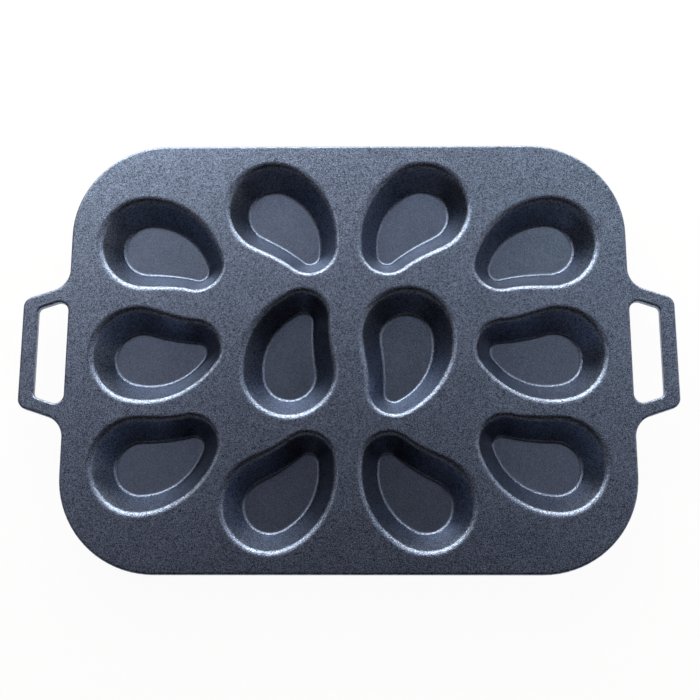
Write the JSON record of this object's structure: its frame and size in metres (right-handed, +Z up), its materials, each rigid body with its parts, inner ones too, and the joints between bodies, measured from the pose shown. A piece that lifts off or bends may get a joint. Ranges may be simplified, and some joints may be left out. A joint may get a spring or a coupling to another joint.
{
  "type": "oyster grill pan",
  "caption": "Flat cast iron grill pan with oyster-shaped cups sunk in its deck and a loop handle at each end, for cooking oysters over a fire or in an oven.",
  "frame": {"origin": "under the middle of the pan, on the plane that the cups stand on", "axes": "+X along the pan from its left handle to its right handle, +Y from the front to the back, +Z up"},
  "size_m": [0.4448, 0.2968, 0.024],
  "materials": {
    "deck_iron": "seasoned, fine sand-cast grain, satin",
    "cup_iron": "seasoned, smoother than the deck, satin",
    "handle_iron": "seasoned, fine sand-cast grain, satin"
  },
  "bodies": {
    "root": {"deck_plate": "deck_iron", "cup_front_1": "cup_iron", "cup_front_2": "cup_iron", "cup_front_3": "cup_iron", "cup_front_4": "cup_iron", "cup_middle_1": "cup_iron", "cup_middle_2": "cup_iron", "cup_middle_3": "cup_iron", "cup_middle_4": "cup_iron", "cup_back_1": "cup_iron", "cup_back_2": "cup_iron", "cup_back_3": "cup_iron", "cup_back_4": "cup_iron", "left_handle": "handle_iron", "right_handle": "handle_iron"}
  },
  "joints": []
}
